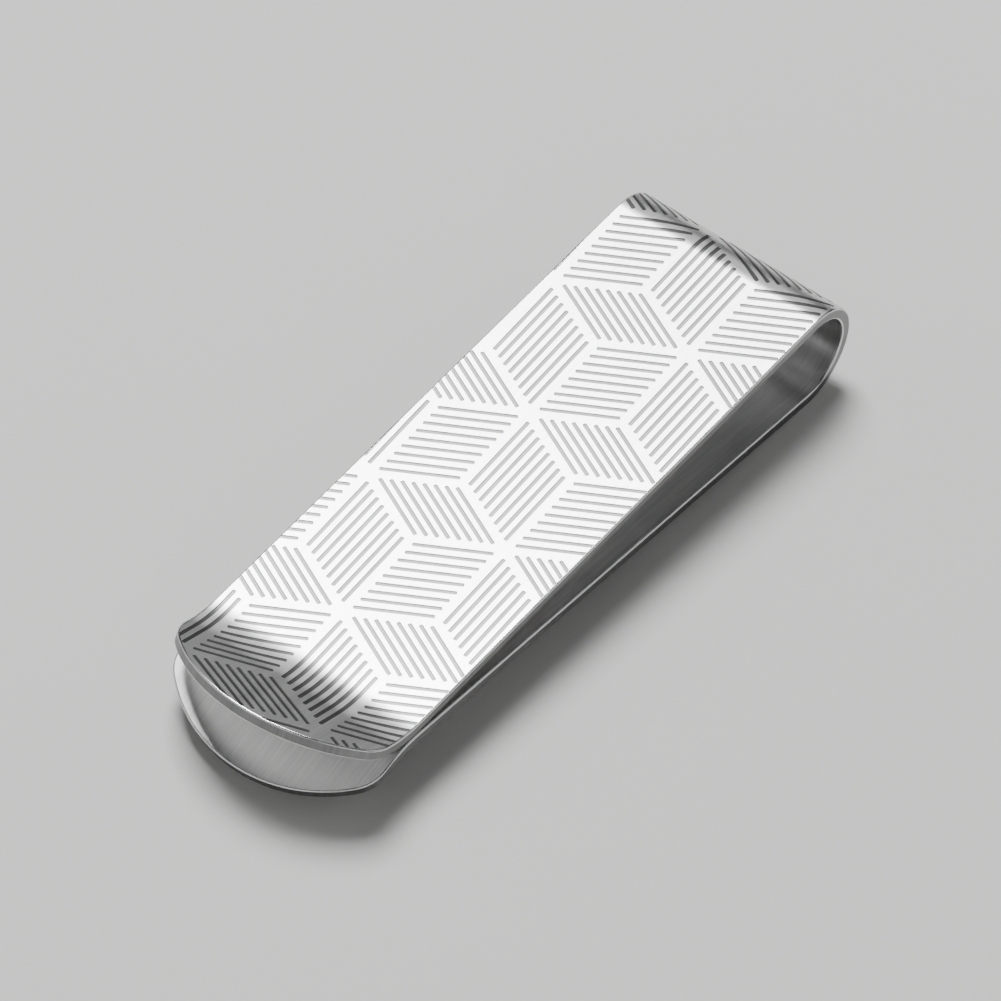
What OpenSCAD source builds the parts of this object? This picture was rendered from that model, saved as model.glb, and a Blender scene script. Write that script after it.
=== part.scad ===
// Spring money clip: one strip of stainless steel, bent double at a tight round
// bow, with two arms that close on each other and two tips that flare apart.
// X runs across the strip, Y from the tips towards the bow, Z up.
// The origin is under the middle of the clip, on the surface that it lies on.

/* [Strip] */
// Width of the strip
clip_w = 15.5; // [12:0.5:20]
// Thickness of the strip
strip_t = 0.8; // [0.6:0.1:1.0]
// Length of the bent clip, from the bow to the rims of the tips
clip_l = 52; // [44:1:62]

/* [Bow] */
// Outer radius of the bow, which is half of the clip's height
bow_r = 3.8; // [3:0.2:4.6]

/* [Pinch] */
// Gap left between the arms where they come closest, with nothing in the clip
pinch_gap = 0.2; // [0.1:0.1:0.6]

/* [Tips] */
// Slope of a flared tip against the middle plane, in degrees
flare_angle = 20; // [15:1:28]
// Inner radius of the bend between an arm and its tip
flare_bend_r = 7; // [3:0.5:8]
// Length of the straight part of a tip, from its bend to its rim
flare_l = 4.9; // [4.8:0.1:6]
// Radius of the curved end of a tip, seen from above
tip_arc_r = 10; // [9:0.5:16]
// Radius of the two corners of a tip
tip_corner_r = 2.5; // [1:0.25:3]

/* [Hidden] */
$fn = 96;

steel = [0.78, 0.79, 0.80];

// The side view has its own origin at the centre of the bow, on the middle plane.
bow_y = clip_l / 2 - bow_r;
bow_inner_r = bow_r - strip_t;
flare_outer_r = flare_bend_r + strip_t;
flare_z = pinch_gap / 2 + flare_outer_r;

// Where the arms come closest, as a distance from the bow's centre
pinch_y = clip_l - bow_r - flare_l * cos(flare_angle)
          - flare_outer_r * sin(flare_angle);

// An arm is tangent to the bow and, on its other side, to the flare's bend.
span = norm([pinch_y, flare_z]);
arm_angle = asin((bow_inner_r + flare_outer_r) / span) - atan(flare_z / pinch_y);
arm_l = sqrt(pow(span, 2) - pow(bow_inner_r + flare_outer_r, 2));

// Centre of the corner arcs of a tip, measured from the centre of its end arc
corner_x = clip_w / 2 - tip_corner_r;
corner_y = sqrt(pow(tip_arc_r - tip_corner_r, 2) - pow(corner_x, 2));

// A wedge that runs from the origin outwards, between two angles
module sector(reach, from_angle, to_angle) {
    steps = 6;
    sweep = to_angle - from_angle;
    polygon(concat([[0, 0]], [
        for (i = [0 : steps])
            reach * [cos(from_angle + sweep * i / steps), sin(from_angle + sweep * i / steps)]
    ]));
}

// Side view of the bow, from the end of the back arm round to the front arm
module bow_profile() {
    intersection() {
        difference() {
            circle(r = bow_r);
            circle(r = bow_inner_r);
        }
        sector(2 * bow_r, -90 - arm_angle, 90 + arm_angle);
    }
}

// Side view of the front arm, closing on the middle plane towards its tip
module arm_profile() {
    rotate(arm_angle)
        translate([-arm_l, bow_inner_r])
            square([arm_l, strip_t]);
}

// All that lies above one face of the front tip, where the face bends with radius r
module above_tip_face(r) {
    circle(r = r);
    rotate(-flare_angle)
        translate([-2 * flare_l, -r])
            square([2 * flare_l, r]);
}

// Side view of the front tip: its bend, and its flare made over-long
module tip_profile() {
    translate([-pinch_y, flare_z])
        intersection() {
            difference() {
                above_tip_face(flare_outer_r);
                above_tip_face(flare_bend_r);
            }
            sector(clip_l, -180 - flare_angle, -90 + arm_angle);
        }
}

// Gives a side view the strip's width, and sets the centre of the bow in its place
module across_strip() {
    translate([-clip_w / 2, bow_y, bow_r])
        rotate([90, 0, 90])
            linear_extrude(height = clip_w)
                children();
}

// Mirrors a front piece about the middle plane, which makes the back piece
module back_side() {
    translate([0, 0, bow_r])
        mirror([0, 0, 1])
            translate([0, 0, -bow_r])
                children();
}

// Outline of a tip, from above: straight sides, rounded corners and a curved end
module tip_outline() {
    body_l = clip_l / 2;
    translate([-clip_w / 2, -corner_y])
        square([clip_w, body_l]);
    for (side = [-1, 1])
        translate([side * corner_x, -corner_y])
            circle(r = tip_corner_r);
    intersection() {
        circle(r = tip_arc_r);
        polygon([[0, 0], 2 * [-corner_x, -corner_y], 2 * [0, -tip_arc_r],
                 2 * [corner_x, -corner_y]]);
    }
}

// The outline as a cutter square to the flare, its end on the rim of the flare
module tip_cutter() {
    cutter_h = 4 * bow_r;
    translate([0, bow_y - pinch_y, bow_r + flare_z])
        rotate([-flare_angle, 0, 0])
            translate([0, tip_arc_r - flare_l, -flare_outer_r - cutter_h / 2])
                linear_extrude(height = cutter_h)
                    tip_outline();
}

module spring_bow() {
    color(steel) across_strip() bow_profile();
}

module front_arm() {
    color(steel) across_strip() arm_profile();
}

module front_tip() {
    color(steel) intersection() {
        across_strip() tip_profile();
        tip_cutter();
    }
}

module back_arm() {
    color(steel) back_side() front_arm();
}

module back_tip() {
    color(steel) back_side() front_tip();
}

spring_bow();
front_arm();
front_tip();
back_arm();
back_tip();
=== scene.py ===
"""A spring money clip: one strip of brushed stainless steel, with a hatch of tumbling blocks cut into it.

The strip is drawn flat, cut into triangles with its hatch lines as real grooves, and then bent over the
side view that the CAD model has. Flat places are (x, s): x across the strip, and s along the middle of
its thickness from the far point of the bow, towards the front tip (positive) or the back tip (negative).
"""

import math

import bpy
import numpy as np
from mathutils import Matrix, Vector
from mathutils.geometry import delaunay_2d_cdt


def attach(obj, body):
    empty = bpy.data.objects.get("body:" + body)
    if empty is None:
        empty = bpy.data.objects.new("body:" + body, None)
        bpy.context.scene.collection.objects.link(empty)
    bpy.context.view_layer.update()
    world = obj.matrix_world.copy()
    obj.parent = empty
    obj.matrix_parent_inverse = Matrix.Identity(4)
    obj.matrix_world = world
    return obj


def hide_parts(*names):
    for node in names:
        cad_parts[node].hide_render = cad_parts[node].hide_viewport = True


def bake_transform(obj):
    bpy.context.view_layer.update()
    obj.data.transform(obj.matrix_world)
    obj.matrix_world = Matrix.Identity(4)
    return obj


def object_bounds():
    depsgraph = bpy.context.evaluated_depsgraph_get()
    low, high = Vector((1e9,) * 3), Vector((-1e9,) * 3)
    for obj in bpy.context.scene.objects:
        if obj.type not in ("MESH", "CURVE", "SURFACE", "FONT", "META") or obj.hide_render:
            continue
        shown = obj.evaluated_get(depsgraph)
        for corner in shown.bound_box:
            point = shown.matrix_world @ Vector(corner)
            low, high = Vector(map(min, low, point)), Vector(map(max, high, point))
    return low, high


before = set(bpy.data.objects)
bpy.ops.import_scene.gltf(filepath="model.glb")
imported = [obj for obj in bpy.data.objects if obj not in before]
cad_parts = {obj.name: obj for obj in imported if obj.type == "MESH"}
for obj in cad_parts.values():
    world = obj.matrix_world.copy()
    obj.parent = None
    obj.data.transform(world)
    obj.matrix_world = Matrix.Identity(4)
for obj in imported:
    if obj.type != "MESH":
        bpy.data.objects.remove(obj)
cad_low, cad_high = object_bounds()

MM = 0.001

# ---- The strip's side view, as the CAD model bends it ----
strip_t = 0.8 * MM
pinch_gap = 0.2 * MM
flare_angle = math.radians(20)
flare_bend_r = 7 * MM
flare_l = 4.9 * MM

# The CAD model's box to the nearest 0.05 mm, because its triangles miss the curved sides a little
rounding = 0.05 * MM
half_w, bow_top, half_clip = (round(size / rounding) * rounding
                              for size in (cad_high.x, cad_high.z, -cad_low.y))
bow_r = bow_top / 2
bow_y = half_clip - bow_r
mid_z = bow_r

# An arm is tangent to the bow and, on its other side, to the bend of the flare.
flare_z = pinch_gap / 2 + flare_bend_r + strip_t
pinch_y = (bow_y + half_clip - flare_l * math.cos(flare_angle)
           - (flare_bend_r + strip_t) * math.sin(flare_angle))
span = math.hypot(pinch_y, flare_z)
tangent_r = bow_r + flare_bend_r
arm_angle = math.asin(tangent_r / span) - math.atan2(flare_z, pinch_y)
arm_l = math.sqrt(span ** 2 - tangent_r ** 2)

# Radii at the middle of the thickness, and which way the outer face looks, from +y towards +z
bow_mid_r = bow_r - strip_t / 2
bend_mid_r = flare_bend_r + strip_t / 2
arm_facing = math.pi / 2 + arm_angle
flare_facing = math.pi / 2 - flare_angle

# Distances from the far point of the bow, along the middle of the thickness
bow_end = bow_mid_r * arm_facing
arm_end = bow_end + arm_l
bend_end = arm_end + bend_mid_r * (arm_facing - flare_facing)
rim = bend_end + flare_l

# ---- The outline of a tip, in the flat ----
tip_arc_r = 10 * MM
tip_corner_r = 2.5 * MM
arc_centre_s = rim - tip_arc_r
corner_x = half_w - tip_corner_r
corner_s = arc_centre_s + math.sqrt((tip_arc_r - tip_corner_r) ** 2 - corner_x ** 2)
corner_turn = math.atan2(corner_s - arc_centre_s, corner_x)

# ---- Edges and grooves ----
# A groove's walls slope in over wall_w, and the four corners of its outline are cut off by line_corner.
edge_r = 0.12 * MM
line_w = 0.28 * MM
line_depth = 0.045 * MM
wall_w = 0.045 * MM
line_corner = 0.06 * MM

# ---- The tumbling-block pattern: stars in rows, each with three hatched cells ----
# A cell's slanted side goes half a star_spacing across the strip and slant_rise along it. Its outer
# lines lie side_gap inside its border, and all of its lines stop end_gap short of it. The whole pattern
# is turned a little on the strip, and one of its stars is at first_star.
star_spacing = 10.2 * MM
row_pitch = 9.74 * MM
slant_rise = 2.7 * MM
pattern_turn = math.radians(1.85)
first_star = (2.98 * MM, 12.68 * MM)
columns_each_way = 2
side_gap = 0.42 * MM
end_gap = 0.34 * MM
shortest_line = 0.5 * MM

# ---- Fineness of the mesh ----
bow_step = math.radians(5)
bend_step = math.radians(2.5)
tip_arc_step = math.radians(3)
tip_corner_step = math.radians(9)
# Points nearer than MERGE become one, lengths nearer than SAME are equal, and TINY keeps a division safe.
MERGE = 1e-9
SAME = 1e-7
TINY = 1e-20


# ---- From the flat to the frame ----

def side_view(s):
    """Middle of the strip at distance s, as (y, z), and the way its outer face looks, as (ny, nz)."""
    along = np.abs(s)
    on_bow = np.minimum(along, bow_end) / bow_mid_r
    on_arm = np.clip(along - bow_end, 0, arm_l)
    on_bend = np.clip(along - arm_end, 0, bend_end - arm_end) / bend_mid_r
    on_flare = np.maximum(along - bend_end, 0)
    bent = arm_facing - on_bend
    y = (bow_y + bow_mid_r * np.cos(on_bow) - on_arm * math.sin(arm_facing)
         - bend_mid_r * (np.cos(bent) - math.cos(arm_facing)) - on_flare * math.sin(flare_facing))
    z = (bow_mid_r * np.sin(on_bow) + on_arm * math.cos(arm_facing)
         - bend_mid_r * (np.sin(bent) - math.sin(arm_facing)) + on_flare * math.cos(flare_facing))
    facing = on_bow - on_bend
    side = np.where(s < 0, -1.0, 1.0)
    return y, mid_z + side * z, np.cos(facing), side * np.sin(facing)


def bend(flat):
    """Rows of (x, s, h) to places in the frame, h being the height above the middle of the strip."""
    x, s, h = flat.T
    y, z, ny, nz = side_view(s)
    return np.column_stack([x, y + h * ny, z + h * nz])


def directions(s, across, along, out):
    """Unit vectors in the frame from parts across the strip, along it and out of its outer face."""
    _, _, ny, nz = side_view(s)
    v = np.column_stack([across, out * ny - along * nz, out * nz + along * ny])
    return v / np.linalg.norm(v, axis=1)[:, None]


# ---- The hatch lines ----

def length_on_strip(lines):
    """How much of each line of the pattern lies on the strip."""
    samples = 101
    share = np.linspace(-1, 1, samples)[:, None]
    x = lines[:, 0] + share * lines[:, 4] * lines[:, 2]
    s = lines[:, 1] + share * lines[:, 4] * lines[:, 3]
    end = arc_centre_s + np.sqrt(np.maximum(tip_arc_r ** 2 - x ** 2, 0))
    return np.mean((abs(x) < half_w) & (abs(s) < end), axis=0) * 2 * lines[:, 4]


def hatch_lines():
    """Every line of the pattern on the whole strip.

    Rows of (middle x, middle s, direction x, direction s, half length).
    """
    half, drop = star_spacing / 2, row_pitch - slant_rise
    right, left, down = (half, slant_rise), (-half, slant_rise), (0, drop)
    back = (half, -slant_rise)
    # For each cell of a star: the way its lines run, the way they are set out, and how many there are
    cells = ((right, back, 8), (down, right, 8), (left, down, 9))
    turn = np.array([[math.cos(pattern_turn), -math.sin(pattern_turn)],
                     [math.sin(pattern_turn), math.cos(pattern_turn)]])
    first_row = math.floor((-rim - first_star[1]) / row_pitch) - 1
    last_row = math.ceil(rim / row_pitch)
    found = []
    for row in range(first_row, last_row + 1):
        for column in range(-columns_each_way, columns_each_way + 1):
            star = np.array([(column + row % 2 / 2) * star_spacing, row * row_pitch])
            for line, step, count in cells:
                line, step = np.array(line), np.array(step)
                area = abs(line[0] * step[1] - line[1] * step[0])
                side = side_gap * np.linalg.norm(line) / area
                end = end_gap * np.linalg.norm(step) / area
                half_l = np.linalg.norm(line) * (0.5 - end)
                for share in np.linspace(side, 1 - side, count):
                    middle = (star + step * share + line / 2) @ turn + first_star
                    found.append([*middle, *(line @ turn / np.linalg.norm(line)), half_l])
    found = np.array(found)
    return found[length_on_strip(found) > shortest_line]


def line_outline(line, inset):
    """Outline of one line in the flat: an oblong with cut corners, drawn in by inset."""
    middle, along, half_l = line[:2], line[2:4], line[4] - inset
    across = np.array([-along[1], along[0]])
    half = line_w / 2 - inset
    cut = line_corner - inset * (2 - math.sqrt(2))
    corner = [(half_l, half - cut), (half_l - cut, half)]
    quarter = corner + [(-t, n) for t, n in reversed(corner)]
    ring = quarter + [(-t, -n) for t, n in quarter]
    return [middle + t * along + n * across for t, n in ring]


def groove_depth(flat, lines):
    """How deep the lines cut at each flat place."""
    depth = np.zeros(len(flat))
    for line in lines:
        to = flat - line[:2]
        t = abs(to @ line[2:4])
        n = abs(to @ np.array([-line[3], line[2]]))
        inside = np.minimum(line[4] - t, line_w / 2 - n)
        inside = np.minimum(inside, (line[4] + line_w / 2 - line_corner - t - n) / math.sqrt(2))
        depth = np.maximum(depth, line_depth * np.clip(inside / wall_w, 0, 1))
    return depth


# ---- Outlines of the pieces, in the flat ----

def arc(centre, r, start, stop, step):
    """Points on an arc, both ends included, with angles from +x towards +s."""
    count = max(2, math.ceil(abs(stop - start) / step) + 1)
    return [(centre[0] + r * math.cos(turn), centre[1] + r * math.sin(turn))
            for turn in np.linspace(start, stop, count)]


def tip_outline(start, side, levels):
    """Outline of a tip from its seam at start, drawn in by the edge's radius.

    side is 1 at the front and -1 at the back; start and levels are given without that sign. The straight
    sides have a point at each level.
    """
    inner_x = half_w - edge_r
    right = arc((corner_x, corner_s), tip_corner_r - edge_r, 0, corner_turn, tip_corner_step)
    end = arc((0, arc_centre_s), tip_arc_r - edge_r, corner_turn, math.pi - corner_turn, tip_arc_step)
    half = [(inner_x, abs(s)) for s in (start, *levels)] + right
    left = [(-x, s) for x, s in reversed(half)]
    return [(x, side * s) for x, s in half + end[1:-1] + left]


def band_outline(start, stop, levels=()):
    """Outline of a straight piece between two seams, drawn in by the edge's radius."""
    inner_x = half_w - edge_r
    right = [(inner_x, s) for s in (start, *levels, stop)]
    return right + [(-x, s) for x, s in reversed(right)]


def outward(flat):
    """The way that the strip's outline looks, in the flat, at places on or near its edge."""
    x, s = flat[:, 0], flat[:, 1]
    on_arc = np.column_stack([x, abs(s) - arc_centre_s])
    on_corner = np.column_stack([abs(x) - corner_x, abs(s) - corner_s])
    found = np.column_stack([np.sign(x), np.zeros(len(x))])
    past = abs(s) > corner_s
    rounded = past & (abs(x) > corner_x * (abs(s) - arc_centre_s) / (corner_s - arc_centre_s))
    ended = past & ~rounded
    found[rounded] = on_corner[rounded] * np.column_stack([np.sign(x[rounded]), np.ones(rounded.sum())])
    found[ended] = on_arc[ended]
    found[past, 1] *= np.sign(s[past])
    return found / np.linalg.norm(found, axis=1)[:, None]


# ---- Triangles ----

def signed_area(places):
    """Area of a closed outline, positive if it runs counter-clockwise."""
    x, y = np.array(places).T
    return np.sum(x * np.roll(y, -1) - y * np.roll(x, -1)) / 2


def triangles(outline, rungs=(), rings=()):
    """Counter-clockwise triangles that fill an outline.

    They follow rungs (pairs of places in outline) and rings (closed outlines). Gives the points, the
    triangles, and for each point the given points that lie there, counted from the outline's first.
    """
    points, edges = [Vector(p) for p in outline], list(rungs)
    for ring in rings:
        first = len(points)
        points += [Vector(p) for p in ring]
        edges += [(first + i, first + (i + 1) % len(ring)) for i in range(len(ring))]
    face = list(range(len(outline)))
    if signed_area(outline) < 0:
        face.reverse()
    found = delaunay_2d_cdt(points, edges, [face], 0, MERGE, True)
    flat = np.array([list(p) for p in found[0]])
    kept = np.array([f for f, inside in zip(found[2], found[5]) if inside])
    used = np.unique(kept)
    place = np.full(len(flat), -1)
    place[used] = np.arange(len(used))
    return flat[used], place[kept], [found[3][i] for i in used]


def rungs_at(places, levels):
    """Pairs of places on an outline, from side to side, at each level of s."""
    places = np.array(places)
    rungs = []
    for level in levels:
        here = np.flatnonzero(abs(places[:, 1] - level) < SAME)
        rungs.append((int(here[np.argmin(places[here, 0])]), int(here[np.argmax(places[here, 0])])))
    return rungs


def boundary(faces):
    """The loop of points round triangles that all run the same way."""
    sides = {(f[i], f[(i + 1) % 3]) for f in faces for i in range(3)}
    following = {a: b for a, b in sides if (b, a) not in sides}
    loop = [min(following)]
    while following[loop[-1]] != loop[0]:
        loop.append(following[loop[-1]])
    return loop


def cap_triangles(ring, places):
    """Triangles over a closed ring of vertices, running its way, from their places in the cap's plane."""
    _, faces, came_from = triangles(places)
    if signed_area(places) < 0:
        faces = faces[:, ::-1]
    return [[ring[came_from[i][0]] for i in face] for face in faces]


def face_normals(corners):
    """A flat triangle's normal, once for each corner."""
    a, b, c = corners
    normal = np.cross(b - a, c - a)
    return [normal / max(np.linalg.norm(normal), TINY)] * 3


# ---- Pieces of the strip ----

# The edge's section, from the outer face round to the inner one: how far out, how high, and the turn of
# its normal from the outer face's
EDGE_SECTION = [
    (edge_r * math.sin(turn), side * (strip_t / 2 - edge_r) + edge_r * math.cos(turn), turn)
    for side, turn in ((1, math.pi / 4), (1, math.pi / 2), (-1, math.pi / 2), (-1, 3 * math.pi / 4))
]
# A piece's material slots, and those of the bands of faces that the section's points divide
FACE, LINE, SIDE, BEVEL, WALL = range(5)
SECTION_KINDS = (BEVEL, BEVEL, WALL, BEVEL, BEVEL)


def grooved_face(outline, levels, lines):
    """The outer face in the flat: its points, its triangles, and how deep each point is cut."""
    s_low, s_high = min(s for _, s in outline), max(s for _, s in outline)
    near = lines[(lines[:, 1] + lines[:, 4] > s_low) & (lines[:, 1] - lines[:, 4] < s_high)]
    rings = [line_outline(line, inset) for line in near for inset in (0, wall_w)]
    flat, faces, _ = triangles(outline, rungs_at(outline, levels), rings)
    return flat, faces, groove_depth(flat, near)


def strip_piece(name, outline, seams, levels, lines):
    """One piece of the strip as a closed mesh, with its lines cut in, bent into its place."""
    flat, faces, depth = grooved_face(outline, levels, lines)
    loop = boundary(faces)
    rim_flat, rim_out, count = flat[loop], outward(flat[loop]), len(loop)
    at_seam = [np.abs(rim_flat[:, 1] - seam) < SAME for seam in seams]
    next_one = np.roll(np.arange(count), -1)
    on_seam = sum((at & at[next_one]).astype(int) for at in at_seam) > 0
    free = ~(on_seam & np.roll(on_seam, 1))

    # Rows of points round the edge, from the outer face to the inner one. Between its two ends, a seam has
    # none on the rows of the section.
    points = [np.column_stack([flat, strip_t / 2 - depth])]
    rows = [np.array(loop)]
    size = len(flat)
    for out, high, _ in EDGE_SECTION:
        row = np.full(count, -1)
        row[free] = size + np.arange(free.sum())
        highs = np.full(free.sum(), high)
        if high > 0:
            highs = np.minimum(highs, strip_t / 2 - depth[loop][free])
        points.append(np.column_stack([(rim_flat + out * rim_out)[free], highs]))
        rows.append(row)
        size += free.sum()
    inner, inner_faces, came_from = triangles(rim_flat, rungs_at(rim_flat, levels))
    place = np.full(count, -1)
    for i, places in enumerate(came_from):
        for j in places:
            if j < count:
                place[j] = i
    points.append(np.column_stack([inner, np.full(len(inner), -strip_t / 2)]))
    rows.append(size + place)
    points = np.vstack(points)
    placed = bend(points)
    made, normals, kinds = [], [], []

    def add(face, corner_normals, kind):
        made.append([int(i) for i in face])
        normals.extend(corner_normals)
        kinds.append(kind)

    # The two faces
    out_n = directions(points[:, 1], np.zeros(len(points)), 0, 1)
    cut = depth > line_depth / 2
    for face in faces[:, ::-1]:
        if cut[face].any() and not cut[face].all():
            add(face, face_normals(placed[face]), SIDE)
        else:
            add(face, out_n[face], LINE if cut[face].all() else FACE)
    for face in inner_faces + size:
        add(face, -out_n[face], FACE)

    # The edge between them
    section_n = [
        directions(rim_flat[:, 1], *(rim_out.T * math.sin(turn)), math.cos(turn))
        for turn in (0, *(turn for _, _, turn in EDGE_SECTION), math.pi)
    ]
    for k in np.flatnonzero(~on_seam):
        n = next_one[k]
        for r, kind in enumerate(SECTION_KINDS):
            add((rows[r][k], rows[r][n], rows[r + 1][n], rows[r + 1][k]),
                (section_n[r][k], section_n[r][n], section_n[r + 1][n], section_n[r + 1][k]), kind)

    # The end at each seam, from one side of the strip to the other
    for at in at_seam:
        here = np.flatnonzero(at & (at[next_one] | np.roll(at, 1)))
        while not (at[here[0]] and not at[here[0] - 1]):
            here = np.roll(here, -1)
        ring = ([rows[0][k] for k in here] + [row[here[-1]] for row in rows[1:-1]]
                + [rows[-1][k] for k in here[::-1]] + [row[here[0]] for row in rows[-2:0:-1]])
        for face in cap_triangles(ring, [(points[i][0], points[i][2]) for i in ring]):
            add(face, face_normals(placed[face]), WALL)

    mesh = bpy.data.meshes.new(name)
    mesh.from_pydata(placed.tolist(), [], made)
    mesh.polygons.foreach_set("material_index", kinds)
    mesh.polygons.foreach_set("use_smooth", [True] * len(made))
    mesh.attributes.new("strip", "FLOAT_VECTOR", "POINT").data.foreach_set("vector", points.ravel())
    mesh.normals_split_custom_set(np.array(normals).tolist())
    mesh.update()
    piece = bpy.data.objects.new(name, mesh)
    bpy.context.scene.collection.objects.link(piece)
    return piece


# ---- Materials ----

def material(name, make):
    """A node material; make gets a function that adds a node, the links and the shader."""
    made = bpy.data.materials.new(name)
    made.use_nodes = True
    nodes, links = made.node_tree.nodes, made.node_tree.links
    shader = nodes["Principled BSDF"]

    def node(kind, values, **settings):
        new = nodes.new("ShaderNode" + kind)
        for key, value in settings.items():
            setattr(new, key, value)
        for key, value in values.items():
            if isinstance(value, bpy.types.NodeSocket):
                links.new(value, new.inputs[key])
            else:
                new.inputs[key].default_value = value
        return new

    make(node, links, shader)
    return made


def noise(node, place, grain, detail=2.0, roughness=0.5, shift=0.0):
    """Noise whose grain is this long across the strip, along it and through it, in metres."""
    scaled = node("VectorMath", {0: place, 1: [1 / g for g in grain]}, operation="MULTIPLY")
    moved = node("VectorMath", {0: scaled.outputs[0], 1: (shift, shift, shift)}, operation="ADD")
    made = node("TexNoise", {"Vector": moved.outputs[0], "Scale": 1.0,
                             "Detail": detail, "Roughness": roughness})
    return made.outputs["Fac"]


def ranged(node, value, low, high, start=0.3, stop=0.7):
    """A value between start and stop, stretched to run from low to high."""
    return node("MapRange", {"Value": value, "From Min": start, "From Max": stop,
                             "To Min": low, "To Max": high}).outputs["Result"]


# Grain of the steel: how many times longer than wide a streak is, and the size of its bands and marks
STREAK_LENGTH = 30
BAND_GRAIN = (1.1 * MM, 26 * MM, 26 * MM)
MARK_GRAIN = (7 * MM, 9 * MM, 9 * MM)


def brushed(fine, dark, light, rough_low, rough_high, bump):
    """Stainless steel, brushed along the strip.

    It has streaks whose width is fine, a few broad bands, and faint handling marks.
    """
    def make(node, links, shader):
        place = node("Attribute", {}, attribute_name="strip").outputs["Vector"]
        streak_grain = (fine, STREAK_LENGTH * fine, STREAK_LENGTH * fine)
        streaks = noise(node, place, streak_grain, detail=3.0, roughness=0.6)
        bands = noise(node, place, BAND_GRAIN, shift=3.1)
        marks = noise(node, place, MARK_GRAIN, shift=7.7)
        grain = node("Mix", {"Factor": 0.35, "A": streaks, "B": bands}).outputs["Result"]
        tone = ranged(node, grain, 0.0, 1.0)
        colour = node("Mix", {"Factor": tone, "A": (*dark, 1), "B": (*light, 1)}, data_type="RGBA")
        links.new(colour.outputs["Result"], shader.inputs["Base Color"])
        worn = node("Mix", {"Factor": 0.5, "A": bands, "B": marks}).outputs["Result"]
        roughness = ranged(node, worn, rough_low, rough_high, start=0.2, stop=0.8)
        links.new(roughness, shader.inputs["Roughness"])
        dent = node("Bump", {"Strength": 1.0, "Distance": bump, "Height": streaks})
        links.new(dent.outputs["Normal"], shader.inputs["Normal"])
        shader.inputs["Metallic"].default_value = 1.0
    return make


# Each steel's roughness keeps to one side of 0.27, because a denoised render shows small dark specks on
# the face when its roughness runs across it.
line_dark, line_light = (0.10, 0.10, 0.101), (0.15, 0.15, 0.149)
face_steel = material("brushed_face", brushed(
    fine=0.16 * MM, dark=(0.60, 0.603, 0.606), light=(0.82, 0.82, 0.815),
    rough_low=0.28, rough_high=0.33, bump=0.0006 * MM))
line_steel = material("cut_lines", brushed(
    fine=0.06 * MM, dark=line_dark, light=line_light,
    rough_low=0.28, rough_high=0.38, bump=0.0004 * MM))
side_steel = material("cut_line_sides", brushed(
    fine=0.06 * MM, dark=line_dark, light=line_light,
    rough_low=0.6, rough_high=0.7, bump=0.0004 * MM))
bevel_steel = material("rounded_edge", brushed(
    fine=0.16 * MM, dark=(0.62, 0.625, 0.63), light=(0.8, 0.8, 0.795),
    rough_low=0.16, rough_high=0.26, bump=0.001 * MM))
# The side wall of the edge is darker than the face. Part of this is a rougher sheared edge, and part is
# painted shade for the dark band that the edge shows.
edge_steel_with_painted_shade = material("cut_edge_painted_shade", brushed(
    fine=0.2 * MM, dark=(0.16, 0.161, 0.162), light=(0.26, 0.26, 0.259),
    rough_low=0.3, rough_high=0.45, bump=0.001 * MM))


# ---- The five pieces of the strip ----

def plate(name, node, body, outline, seams, levels, lines):
    """A finished piece that stands for one CAD node and, if a body is given, rides on it."""
    piece = strip_piece(name, outline, seams, levels, lines)
    for steel in (face_steel, line_steel, side_steel, bevel_steel, edge_steel_with_painted_shade):
        piece.data.materials.append(steel)
    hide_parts(node)
    if body:
        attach(piece, body)
    return piece


def levels_between(start, stop, turn, step):
    """Even distances over a stretch that bends by turn, with at most one step of turn between them."""
    return np.linspace(start, stop, math.ceil(turn / step) + 1)


hatch = hatch_lines()
bow_levels = levels_between(-bow_end, bow_end, 2 * arm_facing, bow_step)[1:-1]
bend_levels = levels_between(arm_end, bend_end, arm_facing - flare_facing, bend_step)[1:]
for side, body in ((1, "front"), (-1, "back")):
    arm_seams = [side * bow_end, side * arm_end]
    plate(body + "_arm_plate", body + "_arm", body, band_outline(*arm_seams), arm_seams, [], hatch)
    plate(body + "_tip_plate", body + "_tip", body, tip_outline(arm_end, side, bend_levels),
          [side * arm_end], side * bend_levels, hatch)

bow = plate("spring_bow_plate", "spring_bow", None, band_outline(-bow_end, bow_end, bow_levels),
            [-bow_end, bow_end], bow_levels, hatch)
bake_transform(bow)


# ---- Floor, light and camera ----

def floor_material(node, links, shader):
    """A pale, matt floor with soft, faint patches."""
    patch = 0.08
    place = node("NewGeometry", {}).outputs["Position"]
    soft = noise(node, place, (patch, patch, patch), detail=3.0)
    colour = node("Mix", {"Factor": soft, "A": (0.60, 0.60, 0.592, 1), "B": (0.64, 0.64, 0.632, 1)},
                  data_type="RGBA")
    links.new(colour.outputs["Result"], shader.inputs["Base Color"])
    shader.inputs["Roughness"].default_value = 0.7


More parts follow.
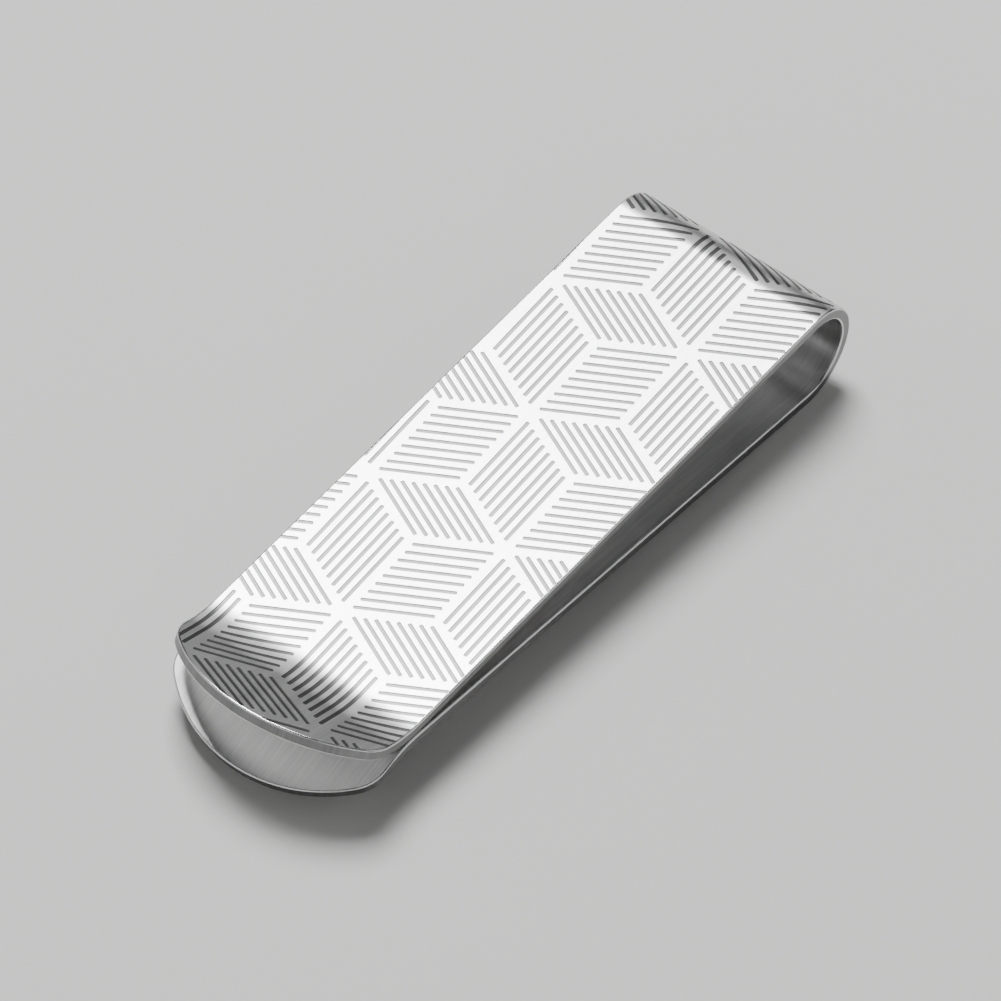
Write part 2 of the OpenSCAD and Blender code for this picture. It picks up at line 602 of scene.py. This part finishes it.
floor_half = 2.0
mesh = bpy.data.meshes.new("floor")
mesh.from_pydata([(x * floor_half, y * floor_half, 0) for x, y in ((-1, -1), (1, -1), (1, 1), (-1, 1))],
                 [], [(0, 1, 2, 3)])
mesh.materials.append(material("pale_floor", floor_material))
floor = bpy.data.objects.new("floor", mesh)
bpy.context.scene.collection.objects.link(floor)

aim = Vector((0, 0, mid_z))


def softbox(name, direction, distance, size, power):
    """A square area light that looks at the clip from a direction."""
    data = bpy.data.lights.new(name, "AREA")
    data.size, data.energy = size, power
    lamp = bpy.data.objects.new(name, data)
    direction = Vector(direction).normalized()
    lamp.location = aim + direction * distance
    lamp.rotation_euler = direction.to_track_quat("Z", "Y").to_euler()
    bpy.context.scene.collection.objects.link(lamp)


# From the camera, the flat arm mirrors the key light, and the bend of the flare mirrors the small light at
# the back. The others are weak and wide, and stand round the clip.
softbox("key", (-0.37, 0.27, 0.89), 0.9, 0.37, 12.8)
softbox("fill_front", (-0.15, -0.95, 0.3), 1.3, 1.3, 3.6)
softbox("fill_left", (-0.85, -0.45, 0.33), 1.3, 1.1, 2.2)
softbox("fill_right", (0.8, -0.5, 0.35), 1.3, 1.1, 2.2)
softbox("fill_back_right", (0.65, 0.6, 0.5), 1.3, 1.1, 2.2)
softbox("fill_back", (-0.37, 0.8, 0.45), 1.3, 0.3, 0.3)

world = bpy.data.worlds.new("studio")
world.use_nodes = True
world.node_tree.nodes["Background"].inputs["Color"].default_value = (0.06, 0.06, 0.062, 1)
bpy.context.scene.world = world

# The camera looks from where the photograph's camera stood, and its picture is turned in the same way.
picture_up = Vector((-0.474, 0.546, 0.691))
camera_data = bpy.data.cameras.new("camera")
camera_data.lens = 330
camera_data.sensor_width = 36
camera = bpy.data.objects.new("camera", camera_data)
camera.location = (0.2078, -0.3216, 0.4146)
look = (aim - camera.location).normalized()
right = look.cross(picture_up).normalized()
camera.rotation_euler = Matrix((right, right.cross(look), -look)).transposed().to_euler()
bpy.context.scene.collection.objects.link(camera)
bpy.context.scene.camera = camera
